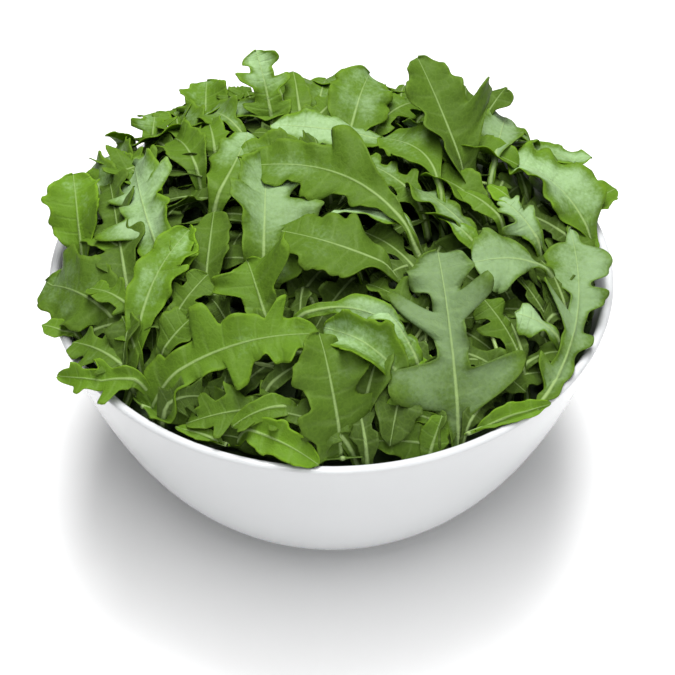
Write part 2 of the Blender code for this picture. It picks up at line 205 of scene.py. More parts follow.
SHIELD = Kind(0.56, -0.20, 0.34, 0.56,
              (Lobe(0.22, 0.36, 0.06, 0.1), Lobe(0.54, 0.30, 0.10, 0.0)),
              (Lobe(0.24, 0.48, 0.06, 0.2), Lobe(0.56, 0.26, 0.11, 0.0)))
PADDLE = Kind(0.88, 0.30, 0.34, 0.66, (Lobe(0.62, 0.14, 0.05),), (Lobe(0.70, 0.14, 0.05),))
CREST = Kind(0.46, 0.12, 0.4, 0.82,
             (Lobe(0.36, 0.16, 0.06, 0.2), Lobe(0.60, 0.36, 0.07, 0.3), Lobe(0.82, 0.14, 0.06, 0.0)),
             (Lobe(0.52, 0.46, 0.075, 0.9), Lobe(0.80, 0.14, 0.08, 0.1)))
OVAL = Kind(0.92, 0.02, 0.36, 0.58,
            (Lobe(0.60, 0.10, 0.05),),
            (Lobe(0.46, 0.10, 0.05), Lobe(0.74, 0.10, 0.05)))
LANCE = Kind(0.90, 0.0, 0.4, 0.42, (Lobe(0.50, 0.14, 0.05),), (Lobe(0.38, 0.14, 0.05),))
SPOON = Kind(0.22, 0.06, 0.2, 0.68, (Lobe(0.72, 0.70, 0.22, 0.1),), (Lobe(0.70, 0.70, 0.20, 0.1),))
TRIDENT = Kind(0.32, 0.0, 0.3, 0.78, (Lobe(0.62, 0.56, 0.15, 0.25),), (Lobe(0.66, 0.74, 0.19, 0.4),))
THUMB = Kind(0.66, -0.08, 0.3, 0.56,
             (Lobe(0.40, 0.12, 0.08, 0.1), Lobe(0.66, 0.20, 0.09)),
             (Lobe(0.36, 0.80, 0.11, 1.1),))

# A leaf: its base and tip as (x, y, lift above the dome), its blade's half width, and how it bends.
# The arch lifts its middle, the sway moves it to the left, the roll turns it by degrees and the cup lifts its
# edges. Tone is 0 for a bluish bloom with a painted sheen and 1 for a clear yellow green, and may pass both.
# Shade is lightness, partly the leaf's own and partly painted light and shade: it darkens leaves that lie
# deep and those turned away from the light, and lightens leaves that look lit.
Leaf = namedtuple("Leaf", "name kind base tip half arch sway roll cup tone shade",
                  defaults=(4, 0, 0, -0.1, 0.5, 1.0))

LOBED_LEAVES = [
    Leaf("cross_leaf", CROSS, (49, -104, -9), (42, -38, 7), 25, 6, tone=-0.1, shade=0.66),
    Leaf("front_oak", LONG_OAK, (-70, -85, 0), (-5, -77, 6), 18, 3, 2, tone=0.45, shade=1.1),
    Leaf("trident_leaf", TRIDENT, (-25, -66, -3), (-33, -43, 7), 17, 2, tone=1.2, shade=1.0),
    Leaf("low_left", RAGGED, (-12, -98, -8), (-56, -97, -3), 11, 4, tone=0.8, shade=0.85),
    Leaf("left_tip", ARROW, (-72, -80, -1), (-108, -73, 4), 9, 3, tone=0.8, shade=1.2),
    Leaf("left_lobed", DART, (-62, -46, 1), (-84, 31, 7), 21, 4, 3, tone=0.0, shade=1.15),
    Leaf("left_bit", OAK, (-78, -51, -1), (-98, -36, 6), 7, 3, tone=0.4, shade=1.0),
    Leaf("centre_left", HALF_CROSS, (-27, -42, -1), (-27, 20, 4), 20, 4, tone=0.05, shade=0.92),
    Leaf("top_upright", OAK, (-26, 60, -4), (-33, 82, 31), 12, 2, tone=0.1, shade=1.15),
    Leaf("grey_upright", PADDLE, (67, 16, -3), (78, 68, 13), 10, 3, tone=0.0, shade=0.92),
    Leaf("middle_dark", DART, (64, -26, -4), (32, 8, 1), 14, 4, tone=0.15, shade=0.9),
    Leaf("light_small", ARROW, (86, -14, -2), (70, 3, 4), 11, 3, tone=0.0, shade=1.0),
    Leaf("rim_right", FEATHER, (80, -86, -5), (100, -2, 5), 15, 3, -9, tone=0.0, shade=0.87),
    Leaf("dark_tall", THUMB, (57, 16, -3), (37, 60, 35), 15, 2, 0, -18, tone=1.4, shade=0.75),
]

BROAD_LEAVES = [
    Leaf("front_broad", SHIELD, (3, -109, -5), (-5, -79, 9), 16, 6, tone=0.45, shade=0.8),
    Leaf("centre_fold", BROAD, (28, -42, -2), (-20, -26, 5), 15, 5, 3, 0, -0.3, tone=0.4, shade=0.82),
    Leaf("centre_low", BROAD, (28, -88, -5), (-3, -73, 4), 8, 6, 0, -12, 0.6, tone=0.2, shade=1.15),
    Leaf("dark_middle", OAK, (34, -60, -6), (14, -48, -2), 10, 3, tone=1.0, shade=0.7),
    Leaf("low_dark", BROAD, (-38, -92, -9), (-66, -89, -5), 9, 2, tone=0.9, shade=0.7),
    Leaf("left_diagonal", SAW, (-77, -66, -2), (-57, -24, 8), 10, 3, 3, tone=0.3, shade=1.2),
    Leaf("bright_peak", BROAD, (-62, -40, -4), (-57, -20, 6), 7, 3, tone=1.0, shade=1.4),
    Leaf("left_round", OVAL, (-84, -52, -4), (-119, -18, 4), 15, 4, 0, 0, -0.15, tone=0.3, shade=0.8),
    Leaf("left_bright", BROAD, (-103, -14, -3), (-109, 20, 25), 12, 3, tone=0.4, shade=1.25),
    Leaf("left_grey", OVAL, (-96, 18, -3), (-107, 46, 10), 10, 3, tone=0.15, shade=0.95),
    Leaf("top_broad", OVAL, (7, 40, -4), (17, 78, 17), 13, 3, tone=0.2, shade=1.0),
    Leaf("top_left", SHIELD, (-57, 78, -4), (-57, 98, 19), 12, 2, tone=0.3, shade=1.15),
    Leaf("top_far_left", OAK, (-80, 62, -3), (-80, 82, 14), 11, 2, tone=0.3, shade=1.15),
    Leaf("dark_centre", BROAD, (0, 2, -3), (-8, 40, 4), 9, 3, tone=1.0, shade=0.7),
    Leaf("big_arched", CREST, (37, -33, -1), (-36, 15, 6), 18, 8, -11, 0, -0.2, tone=0.4, shade=0.88),
    Leaf("arched_middle", PADDLE, (45, -10, -3), (22, 40, 2), 11, 9, -7, tone=0.3, shade=1.0),
    Leaf("big_right", OVAL, (112, 4, -3), (77, 37, 3), 17, 6, -5, tone=0.05, shade=1.12),
    Leaf("curled_roll", PADDLE, (92, -30, 0), (56, -38, 4), 13, 5, 0, 0, -0.5, tone=0.0, shade=0.87),
    Leaf("centre_top", BROAD, (-8, 25, -2), (-40, 28, 3), 9, 3, tone=0.3, shade=1.0),
    Leaf("top_flat", BROAD, (-12, 66, 0), (-56, 74, 4), 7, 3, 3, tone=0.1, shade=1.1),
    Leaf("arched_right", BROAD, (60, 15, -4), (32, 55, 2), 8, 5, tone=0.1, shade=1.1),
    Leaf("folded_right", BROAD, (105, 24, -1), (125, 36, 9), 8, 2, tone=0.9, shade=1.1),
    Leaf("low_bright", BROAD, (42, -84, -6), (28, -82, 0), 6, 2, tone=1.0, shade=1.4),
    Leaf("under_diagonal", BROAD, (-66, -70, -4), (-50, -58, 0), 8, 3, tone=0.8, shade=0.85),
    Leaf("back_left_bright", BROAD, (-50, 38, -3), (-54, 62, 4), 6, 3, tone=1.0, shade=1.1),
    Leaf("back_left_dark", BROAD, (-72, 52, -3), (-84, 66, 3), 7, 3, tone=0.8, shade=0.75),
    Leaf("dark_patch", BROAD, (-22, 45, -4), (-34, 52, -1), 6, 2, tone=0.7, shade=0.7),
]

NARROW_LEAVES = [
    Leaf("centre_arch", SPOON, (-17, -66, -3), (28, -70, 1), 6, 9, 0, 15, -0.5, tone=0.1, shade=1.1),
    Leaf("centre_light", RAGGED, (34, -84, -3), (15, -60, 4), 8, 5, 0, 20, -0.5, tone=0.1, shade=1.2),
    Leaf("low_curl", LANCE, (-14, -98, -5), (-38, -103, 0), 4, 5, tone=0.9, shade=1.0),
    Leaf("low_flat", SPOON, (42, -98, -9), (18, -98, -4), 6, 3, tone=0.5, shade=1.0),
    Leaf("rim_front", LANCE, (-35, -102, -4), (-5, -118, 2), 6, 2, tone=0.6, shade=1.3),
    Leaf("middle_right", OAK, (76, -72, -7), (60, -50, -1), 11, 3, 0, 15, -0.4, tone=1.0, shade=0.8),
    Leaf("right_low_twist", LANCE, (56, -99, -6), (85, -87, 2), 4, 3, tone=0.5, shade=1.25),
    Leaf("small_middle", OAK, (-20, -69, -5), (-40, -68, -1), 7, 3, 0, -15, -0.4, tone=0.8, shade=0.8),
    Leaf("left_strip", LANCE, (-80, -24, -1), (-111, 4, 6), 5, 3, tone=1.0, shade=1.1),
    Leaf("left_dark", RAGGED, (-81, -44, -1), (-97, 38, 5), 13, 3, tone=1.3, shade=0.65),
    Leaf("left_small", OAK, (-80, -73, -2), (-104, -54, 3), 11, 3, tone=0.4, shade=0.85),
    Leaf("left_middle", LANCE, (-50, -46, -7), (-48, -6, 0), 9, 3, tone=0.9, shade=0.75),
    Leaf("behind_arch", RAGGED, (38, 0, -3), (10, 24, 2), 9, 3, tone=0.25, shade=0.95),
    Leaf("between_arches", OVAL, (64, 0, -3), (38, 16, 2), 8, 3, tone=0.5, shade=0.95),
    Leaf("rib_leaf", LANCE, (-50, 0, -2), (-36, 46, 3), 10, 3, -3, tone=0.15, shade=1.05),
    Leaf("top_middle", BROAD, (32, 38, -2), (-26, 47, 5), 10, 4, 3, tone=0.0, shade=1.15),
    Leaf("dark_finger", LANCE, (58, 46, -4), (60, 76, 20), 5, 2, tone=1.4, shade=0.6),
    Leaf("spoon_back", SPOON, (66, 58, 0), (78, 73, 28), 7, 2, tone=1.4, shade=0.65),
    Leaf("top_narrow", LANCE, (-13, 56, -3), (-17, 88, 16), 5, 2, tone=0.6, shade=1.0),
    Leaf("far_left_point", LANCE, (-90, 68, -3), (-100, 60, 20), 3, 2, tone=0.5, shade=1.1),
    Leaf("pointed_right", LANCE, (86, 52, 0), (115, 48, 17), 8, 2, 0, 25, tone=0.1, shade=1.15),
    Leaf("light_strip", LANCE, (60, -28, -1), (42, -12, 3), 4, 3, tone=0.2, shade=1.2),
    Leaf("narrow_fold", LANCE, (70, -8, 0), (52, 5, 3), 4, 3, tone=0.4, shade=1.1),
    Leaf("small_bright", LANCE, (78, 2, -2), (66, 12, 3), 5, 3, tone=1.0, shade=1.4),
    Leaf("light_curl", SPOON, (90, -58, -2), (72, -57, 4), 7, 3, 0, -20, -0.6, tone=0.0, shade=1.12),
    Leaf("low_point", LANCE, (38, -106, -10), (42, -98, -2), 5, 2, tone=0.5, shade=0.9),
    Leaf("low_rib", LANCE, (40, -104, -9), (16, -106, -7), 6, 1, tone=0.5, shade=0.8),
    Leaf("arch_strip", LANCE, (34, -16, -2), (0, -12, 2), 5, 4, tone=0.0, shade=1.2),
    Leaf("bright_bit", LANCE, (10, -40, -2), (-12, -37, 3), 4, 3, tone=0.7, shade=1.4),
    Leaf("behind_right", LANCE, (92, -42, -6), (90, -14, -3), 6, 2, tone=0.7, shade=0.7),
    Leaf("left_stripe", LANCE, (-88, 30, -3), (-98, 56, 5), 7, 3, tone=0.2, shade=1.1),
    Leaf("back_fill_1", OAK, (-68, 68, -3), (-72, 88, 9), 9, 2, tone=0.6, shade=1.0),
    Leaf("back_fill_2", RAGGED, (-42, 74, -3), (-44, 98, 11), 9, 2, tone=0.8, shade=0.9),
    Leaf("back_fill_3", OVAL, (-6, 72, -3), (-2, 102, 9), 10, 2, tone=0.3, shade=1.05),
    Leaf("back_fill_4", RAGGED, (30, 72, -3), (34, 100, 9), 10, 2, tone=0.8, shade=0.9),
    Leaf("back_fill_5", OAK, (50, 66, -3), (56, 90, 8), 9, 2, tone=0.5, shade=1.0),
    Leaf("back_fill_6", OVAL, (-90, 44, -3), (-98, 64, 8), 8, 2, tone=0.2, shade=1.05),
    Leaf("back_fill_7", OVAL, (-60, 76, -4), (-44, 101, 6), 11, 2, tone=0.7, shade=0.9),
    Leaf("back_fill_8", OVAL, (34, 78, -4), (46, 94, 5), 9, 2, tone=0.9, shade=0.9),
    Leaf("back_fill_9", RAGGED, (-20, 74, -3), (-26, 100, 10), 9, 2, tone=0.5, shade=0.95),
    Leaf("back_fill_10", OVAL, (-60, 80, -4), (-74, 96, 8), 10, 2, tone=0.4, shade=0.95),
    Leaf("back_fill_11", OAK, (-44, 70, -4), (-53, 92, 6), 10, 2, tone=0.5, shade=1.0),
    Leaf("back_fill_12", RAGGED, (-34, 74, -4), (-40, 98, 9), 10, 2, tone=0.7, shade=0.95),
    Leaf("left_low_round", SPOON, (-76, -69, -3), (-83, -53, 3), 6, 2, tone=0.6, shade=0.9),
    Leaf("rim_curl", SPOON, (-104, -47, -3), (-118, -42, 2), 4, 2, tone=0.6, shade=1.1),
    Leaf("diagonal_back", OAK, (-66, -64, -5), (-49, -42, 1), 10, 3, tone=0.9, shade=0.8),
    Leaf("rim_thin", LANCE, (-44, -104, -5), (-60, -98, -2), 2, 1, tone=1.0, shade=1.1),
]

# Thin stems that show between the leaves: base and tip as (x, y, lift), and how high they arch
STEMS = [
    ((62, -62, -2), (68, -80, -5), 1),
    ((38, -50, -4), (36, -76, -6), 1),
    ((42, -54, -5), (30, -72, -7), 1),
    ((-6, 30, -4), (-34, 34, -5), 3),
    ((-60, 44, -4), (-40, 58, -2), 3),
    ((12, 18, -4), (2, -2, -5), 2),
    ((70, 24, -5), (50, 14, -4), 2),
    ((-30, -78, -6), (-12, -84, -8), 1),
]

# A stem, in millimetres: its radius, its taper, how soon its ends round off, and its steps along and round
STEM_RADIUS = 0.9
STEM_THINNING = 0.35
STEM_END_RISE = 6
STEM_END_START = 0.05
STEM_STEPS = 24
STEM_ROUND_STEPS = 10

# Leaves on the far side, placed by a rule: rows as (count, radius), an outer one by the rim and one above it
BACK_ROWS = ((11, 84), (5, 58))
BACK_FIRST_ANGLE = 28
BACK_LAST_ANGLE = 172
BACK_SCATTER = 8
BACK_LENGTH = (32, 44)
BACK_HALF_WIDTH = (8, 12)
BACK_BASE_LIFT = -3
BACK_LIFT = (1, 6)
BACK_TURN = 60
BACK_KINDS = (BROAD, OAK, RAGGED, SPOON)
BACK_TONES = (0.2, 0.6, 0.4, 0.9)
BACK_SEED = 11

# Leaves below the ones that show, spread evenly by the golden angle, with coarser grids
UNDER_COUNT = 190
UNDER_RADIUS = 113
UNDER_RIM_GAP = 8
UNDER_LENGTH = (22, 44)
UNDER_HALF_WIDTH = (4, 9)
UNDER_LIFT = (-21, -5)
UNDER_EDGE_LIFT = 7
UNDER_EDGE_POWER = 3
UNDER_ROLL = 35
UNDER_KINDS = (RAGGED, OAK, LANCE, SPOON, ARROW)
# Their tone and shade make them darker and clearer green, as painted shade deep in the heap
UNDER_TONE = (0.8, 1.3)
UNDER_PAINTED_SHADE = (0.3, 0.7)
UNDER_ROW_SPACING = 1.8
UNDER_COLUMNS = 13
UNDER_SEED = 5
GOLDEN_ANGLE = 2.39996

# Leaf colours, as linear red, green, blue and alpha
# Bloom green is the leaf's pale bluish bloom together with a painted sheen, as on top-lit leaves
BLOOM_AND_SHEEN_GREEN = (0.235, 0.345, 0.190, 1)
CLEAR_GREEN = (0.050, 0.110, 0.0001, 1)
EDGE_GREEN = (0.130, 0.240, 0.002, 1)
NET_GREEN = (0.16, 0.26, 0.03, 1)
VEIN_GREEN = (0.31, 0.42, 0.17, 1)
UNDERSIDE_GREEN = (0.15, 0.25, 0.05, 1)

# Leaf mottling: a noise's scale per metre, its detail and its strength
BLOTCHES = (55.0, 4.0, 0.9)
MOTTLE = (650.0, 3.0, 0.35)
FLECKS = (420.0, 4.0, 0.40)
PUCKER = (190.0, 3.0, 2.0)
VEIN_WANDER = (90.0, 2.0, 0.5)

# Ranges of the leaf material: the low and high of a value, then the result at each
EDGE_TONE = (0.45, 1.0, 0.0, 0.30)
BASE_TONE = (0.45, 1.10, 0.0, 0.35)
BLOOM_AND_SHEEN_TO_CLEAR = (-0.06, 0.42, 0.0, 1.0)
BRIGHT_EDGE = (0.80, 1.0, 0.0, 0.35)
VEIN_STRENGTH = (0.26, 1.10, 0.45, 0.80)
LEAF_ROUGHNESS = (0.3, 0.7, 0.42, 0.56)
MIDRIB_FALL = (0.35, 1.25, 1.0, 0.0)
SIDE_VEIN_FALL = (0.01, 0.13, 1.0, 0.0)
SIDE_VEIN_FADE = (1.0, 16.0, 0.85, 0.15)
NET_FALL = (0.02, 0.16, 1.0, 0.0)

# Smaller parts of the leaf material: shares, noise scales per metre, and heights against the bump's distance
DARKEST_FLECK = 0.80
NET_SHARE = 0.08
UNDERSIDE_SHARE = 0.25
SIDE_VEIN_SHARE = 0.16
NET_SCALE = 420.0
SHEEN_SCALE = 160.0
MIDRIB_HEIGHT = 0.4
SIDE_VEIN_HEIGHT = -0.45
NET_HEIGHT = -0.10
LEAF_BUMP_STRENGTH = 0.5
LEAF_BUMP_DISTANCE = 0.0008
LEAF_SHINE = 0.05

# A plain finish: its two colours, the scale of its mottle, its roughness range and its bump in metres
Finish = namedtuple("Finish", "low high scale roughness bump")
STEM_FINISH = Finish((0.22, 0.34, 0.08, 1), (0.32, 0.45, 0.14, 1), 120, (0.35, 0.5), 0.0002)
# The core's near black green is painted shade, seen in the gaps between the leaves
CORE_SHADOW_FINISH = Finish((0.008, 0.022, 0.001, 1), (0.03, 0.065, 0.004, 1), 110, (0.6, 0.8), 0.002)
GLAZE_FINISH = Finish((0.55, 0.56, 0.57, 1), (0.58, 0.59, 0.60, 1), 12, (0.16, 0.24), 0.0001)
FLOOR_FINISH = Finish((0.93, 0.93, 0.93, 1), (0.96, 0.96, 0.96, 1), 8, (0.7, 0.8), 0.0001)
MOTTLE_DETAIL = 3.0
MOTTLE_RANGE = (0.3, 0.7)
GRAIN_FINENESS = 3
GRAIN_STRENGTH = 0.3

# Studio, in metres and watts: a light is its name, width, depth, power, place and aim
LIGHTS = [
    ("overhead", 0.5, 1.6, 21, (0.0, -0.12, 1.3), (0, -0.05, 0.1)),
    ("back_light", 0.5, 0.6, 10, (0.05, 0.3, 1.2), (0, 0, 0.12)),
    ("front_fill", 1.4, 1.0, 9, (0.45, -1.45, 0.6), (0, 0, 0.06)),
]
WORLD_WHITE = (1, 1, 1, 1)
WORLD_STRENGTH = 0.07
FLOOR_HALF = 3.0
CAMERA_LENS = 87.29
CAMERA_SENSOR = 36
CAMERA_PLACE = (0, -0.52427, 0.57983)
CAMERA_AIM = (0.0026, 0, 0.0695)


def smoothstep(value):
    """Eases from 0 to 1: three times the share's square, less twice its cube."""
    share = np.clip(value, 0.0, 1.0)
    return share * share * (3 - 2 * share)


def unit(vectors):
    """The same directions, each with a length of one."""
    return vectors / np.maximum(np.linalg.norm(vectors, axis=-1, keepdims=True), TINY)


def wall_radius(depth, radius, full_depth):
    """Radius of the bowl's curve at a depth below the rim.

    The depth's share is raised to the sweep and taken from one. The result, raised to one over the bulge, is
    the share of the rim's radius.
    """
    share = np.clip(depth / full_depth, 0.0, 1.0)
    return radius * (1 - share**WALL_SWEEP) ** (1 / WALL_BULGE)


def dome_height(x, y):
    """Height of the dome: the rim's, plus the rise times one minus the cube of the distance's share."""
    share = np.minimum(np.hypot(x, y) / DOME_RADIUS, 1.0)
    return RIM_HEIGHT + DOME_RISE * (1 - share**DOME_POWER)


def dome_normal(x, y):
    """Unit normal of the dome, from its slope away from the axis."""
    away = np.hypot(x, y)
    share = np.minimum(away / DOME_RADIUS, 1.0)
    steep = DOME_RISE * DOME_POWER * share ** (DOME_POWER - 1) / DOME_RADIUS / np.maximum(away, TINY)
    return unit(np.stack([steep * x, steep * y, np.ones_like(x)], axis=-1))


def side_edge(kind, lobes, along):
    """One side's edge as shares of the half width: how far out it stands, and how far forward.

    Out is a plain body that widens over the flare, plus a flat-topped bump for each lobe. Forward is a small
    part of the body plus each bump times its lobe's lean. Both close at the tip as a rounded curve.
    """
    out = kind.body * smoothstep((along - kind.blade_start) / kind.flare)
    forward = BASE_SLANT * out * np.clip((1 - along) / SLANT_FADE, 0.0, 1.0)
    for lobe in lobes:
        bump = lobe.reach * np.exp(-np.abs((along - lobe.place) / lobe.spread) ** LOBE_ROUNDNESS)
        out = out + bump
        forward = forward + lobe.lean * bump
    tip_share = np.clip((along - kind.tip_start) / (1 - kind.tip_start), 0.0, 1.0)
    closing = np.sqrt(np.maximum(1 - tip_share**TIP_ROUNDNESS, 0.0))
    return out * closing, forward * closing


def ragged_edge(along, length, draw):
    """A factor on the width: one plus three slow sine scallops, plus small rounded teeth at drawn places."""
    factor = np.ones_like(along)
    for scallop in SCALLOP_LENGTHS:
        factor += SCALLOP_DEPTH * np.sin(2 * np.pi * along * length / scallop + draw.uniform(0, 2 * math.pi))
    count = max(int(length / TOOTH_SPACING), 1)
    places = np.array([draw.uniform(*TOOTH_PLACES) for _ in range(count)])
    heights = np.array([draw.uniform(*TOOTH_HEIGHT) for _ in range(count)])
    distance = (along[:, None] - places) * length / TOOTH_WIDTH
    return factor + (heights * np.exp(-distance**2)).sum(axis=1)


def vein_places(lobes, along):
    """Counts along the leaf so that a side vein, at each whole number, runs out to each lobe's tip."""
    places = [0.0] + [lobe.place for lobe in lobes] + [1.0]
    counts = np.arange(len(places)) * VEINS_PER_LOBE
    return np.interp(along, places, counts)


def leaf_grid(leaf, along, across):
    """The leaf's blade as rows of points, with the distance out from the midrib and the vein count of each.

    A spine runs from base to tip over the dome, with an arch and a sway as half sines and a root that dives
    by a square. Each row crosses it, bends forward into the lobes, and rises by the cup, as the square of the
    distance out, by a fold along the midrib, as a hyperbola, and by a slow wave and a ruffle, as sines.
    """
    draw = random.Random(leaf.name)
    base = np.array(leaf.base, float)
    tip = np.array(leaf.tip, float)
    reach = tip[:2] - base[:2]
    heading = reach / np.linalg.norm(reach)
    leftward = np.array([-heading[1], heading[0]])
    start = base[:2] - heading * ROOT_LENGTH

    def spine(share):
        bow = np.sin(np.pi * share)
        plan = start + (tip[:2] - start) * share[:, None] + (leaf.sway * bow)[:, None] * leftward
        root = np.clip(1 - share / ROOT_SHARE, 0.0, None)
        lift = base[2] + (tip[2] - base[2]) * share + leaf.arch * bow - ROOT_DIVE * root**2
        return np.column_stack([plan, dome_height(plan[:, 0], plan[:, 1]) + lift])

    middle = spine(along)
    ahead = unit(spine(along + SPINE_STEP) - spine(along - SPINE_STEP))
    left = unit(np.cross(dome_normal(middle[:, 0], middle[:, 1]), ahead))
    up = np.cross(ahead, left)
    twist = draw.uniform(-TWIST, TWIST)
    roll = leaf.roll + draw.uniform(-ROLL_SPREAD, ROLL_SPREAD) + twist * (along - TWIST_PLACE)
    roll = np.radians(roll)[:, None]
    left, up = left * np.cos(roll) + up * np.sin(roll), up * np.cos(roll) - left * np.sin(roll)

    length = np.linalg.norm(np.diff(middle, axis=0), axis=1).sum()
    stem = STEM_HALF_WIDTH * (1 - STEM_TAPER * along)
    phase = draw.uniform(0, 2 * math.pi)
    widths = []
    pushes = []
    for lobes in (leaf.kind.left, leaf.kind.right):
        edge, forward = side_edge(leaf.kind, lobes, along)
        widths.append((stem + leaf.half * edge * ragged_edge(along, length, draw))[:, None])
        pushes.append((leaf.half * forward)[:, None])
    side = across[None, :]
    on_left = side > 0
    out = np.where(on_left, side * widths[0], side * widths[1])
    push = np.where(on_left, pushes[0], pushes[1]) * np.abs(side) ** ROW_BEND
    veins = np.where(on_left, vein_places(leaf.kind.left, along)[:, None],
                     vein_places(leaf.kind.right, along)[:, None])

    fold = draw.uniform(*FOLD) * (np.sqrt(out**2 + FOLD_ROUNDING) - FOLD_START)
    slow_turns = WAVE_TURN * along[:, None] + phase + WAVE_SIDE_SHIFT * np.sign(side)
    wave = WAVE * np.abs(out) * np.sin(slow_turns)
    quick_turns = 2 * np.pi * along[:, None] * length / RUFFLE_LENGTH
    quick_turns = quick_turns + RUFFLE_SIDE_SHIFT * np.sign(side) + 2 * phase
    ruffle = RUFFLE * leaf.half * np.abs(side) ** 2 * np.sin(quick_turns)
    cup = leaf.cup + draw.uniform(-CUP_SPREAD, CUP_SPREAD)
    rise = cup * out**2 / leaf.half + fold + wave + ruffle
    points = middle[:, None] + ahead[:, None] * push[..., None]
    points = points + left[:, None] * out[..., None] + up[:, None] * rise[..., None]
    return points, out, veins


def clear_of_bowl(points):
    """Lifts a leaf that leaves the bowl over its lip, and moves points below the rim in from the wall."""
    away = np.hypot(points[..., 0], points[..., 1])
    inside = RIM_RADIUS - WALL - BOWL_CLEARANCE
    goes_over = (away > inside) & (points[..., 2] > RIM_HEIGHT - LIP_DEPTH)
    if goes_over.any():
        lowest = RIM_HEIGHT + BOWL_CLEARANCE - LIP_SLOPE * np.clip(inside - away, 0.0, LIP_ZONE)
        near = away > inside - LIP_ZONE
        points[..., 2] = np.where(near, np.maximum(points[..., 2], lowest), points[..., 2])
    depth = RIM_HEIGHT - points[..., 2]
    widest = wall_radius(np.maximum(depth, 0.0), RIM_RADIUS - WALL, RIM_HEIGHT - FLOOR) - BOWL_CLEARANCE
    shrink = np.where((depth > 0) & (away > widest), widest / np.maximum(away, TINY), 1.0)
    points[..., :2] *= shrink[..., None]
    return points


def closed_sheet(points, thickness):
    """A thin closed shell round a grid: both faces stand half the thickness off, joined by a rim."""
    rows, columns = points.shape[:2]
    normal = unit(np.cross(np.gradient(points, axis=1), np.gradient(points, axis=0)))
    offset = normal * (thickness / 2)[..., None]
    corners = np.concatenate([(points + offset).reshape(-1, 3), (points - offset).reshape(-1, 3)])
    index = np.arange(rows * columns).reshape(rows, columns)
    quads = np.stack([index[:-1, :-1], index[:-1, 1:], index[1:, 1:], index[1:, :-1]], axis=-1).reshape(-1, 4)
    edge = np.concatenate([index[0, :-1], index[:-1, -1], index[-1, :0:-1], index[:0:-1, 0]])
    after = np.roll(edge, -1)
    count = rows * columns
    rim = np.stack([after, edge, edge + count, after + count], axis=-1)
    return corners, np.concatenate([quads, quads[:, ::-1] + count, rim])


def both_faces(values, shape):
    """A value for every corner of both faces of a sheet: values spread over the grid, then given twice."""
    grid = np.broadcast_to(values, shape).ravel()
    return np.concatenate([grid, grid])


def leaf_part(leaf, row_spacing=ROW_SPACING, columns=COLUMNS):
    """One leaf's closed mesh in metres, with its map and its values for the material.

    The thickness is the blade's, plus the midrib's as a bell curve that narrows and thins towards the tip.
    """
    length = math.dist(leaf.base, leaf.tip) + ROOT_LENGTH
    rows = max(int(length / row_spacing), LEAST_ROWS)
    along = np.linspace(0.0, 1.0, rows)
    across = np.linspace(-1.0, 1.0, columns)
    across = np.sign(across) * np.abs(across) ** COLUMN_CROWDING
    points, out, veins = leaf_grid(leaf, along, across)
    taper = (1 - RIB_TAPER * along)[:, None]
    ridge = np.exp(-(out / (RIB_LEAST_HALF + RIB_ADDED_HALF * taper)) ** 2) * taper
    corners, faces = closed_sheet(clear_of_bowl(points), BLADE_THICKNESS + RIB_THICKNESS * ridge)
    # Painted shade: lightness falls towards the base, where the leaf lies buried under others
    shade = leaf.shade**SHADE_CONTRAST * (SHADE_AT_BASE + SHADE_GAIN * along)
    rib = RIB_MARK_AT_TIP + RIB_MARK_GAIN * (1 - along) ** RIB_MARK_FALL
    return {
        "corners": corners * MM,
        "faces": faces,
        "map": np.column_stack([both_faces(out, out.shape), both_faces(veins, out.shape)]),
        "tone": both_faces(leaf.tone, out.shape),
        "shade": both_faces(shade[:, None], out.shape),
        "edge": both_faces(np.abs(across)[None, :], out.shape),
        "rib": both_faces(rib[:, None], out.shape),
        "under": np.repeat([0.0, 1.0], out.size),
    }


def mesh_piece(name, parts, material):
    """Joins parts into one smooth mesh object at the origin."""
    corners = np.concatenate([part["corners"] for part in parts])
    starts = np.cumsum([0] + [len(part["corners"]) for part in parts[:-1]])
    faces = np.concatenate([part["faces"] + start for part, start in zip(parts, starts)])
    mesh = bpy.data.meshes.new(name)
    mesh.from_pydata(corners, [], faces)
    if "map" in parts[0]:
        places = np.concatenate([part["map"] for part in parts])
        layer = mesh.uv_layers.new(name="leaf_map")
        layer.data.foreach_set("uv", places[faces.ravel()].ravel())
        for value_name in VALUE_NAMES:
            values = np.concatenate([part[value_name] for part in parts])
            mesh.attributes.new(value_name, "FLOAT", "POINT").data.foreach_set("value", values)
    mesh.shade_smooth()
    mesh.materials.append(material)
    piece = bpy.data.objects.new(name, mesh)
    bpy.context.scene.collection.objects.link(piece)
    return piece


def back_leaves():
    """Leaves for the far side, at even angles round each row and with seeded sizes and turns."""
    draw = random.Random(BACK_SEED)
    for row, (count, radius) in enumerate(BACK_ROWS):
        for number in range(count):
            share = (number + 0.5) / count
            angle = math.radians(BACK_FIRST_ANGLE + (BACK_LAST_ANGLE - BACK_FIRST_ANGLE) * share)
            away = radius + draw.uniform(-BACK_SCATTER, BACK_SCATTER)
            heading = angle + math.radians(draw.uniform(-BACK_TURN, BACK_TURN))
            length = draw.uniform(*BACK_LENGTH)
            base = (away * math.cos(angle), away * math.sin(angle), BACK_BASE_LIFT)
            tip_x = base[0] + length * math.cos(heading)
            tip_y = base[1] + length * math.sin(heading)
            reach = min(1.0, DOME_RADIUS / math.hypot(tip_x, tip_y))
            tip = (tip_x * reach, tip_y * reach, draw.uniform(*BACK_LIFT))
            kind = BACK_KINDS[number % len(BACK_KINDS)]
            half = draw.uniform(*BACK_HALF_WIDTH)
            tone = BACK_TONES[(number + row) % len(BACK_TONES)]
            yield Leaf(f"back_leaf_{row}_{number}", kind, base, tip, half, tone=tone)


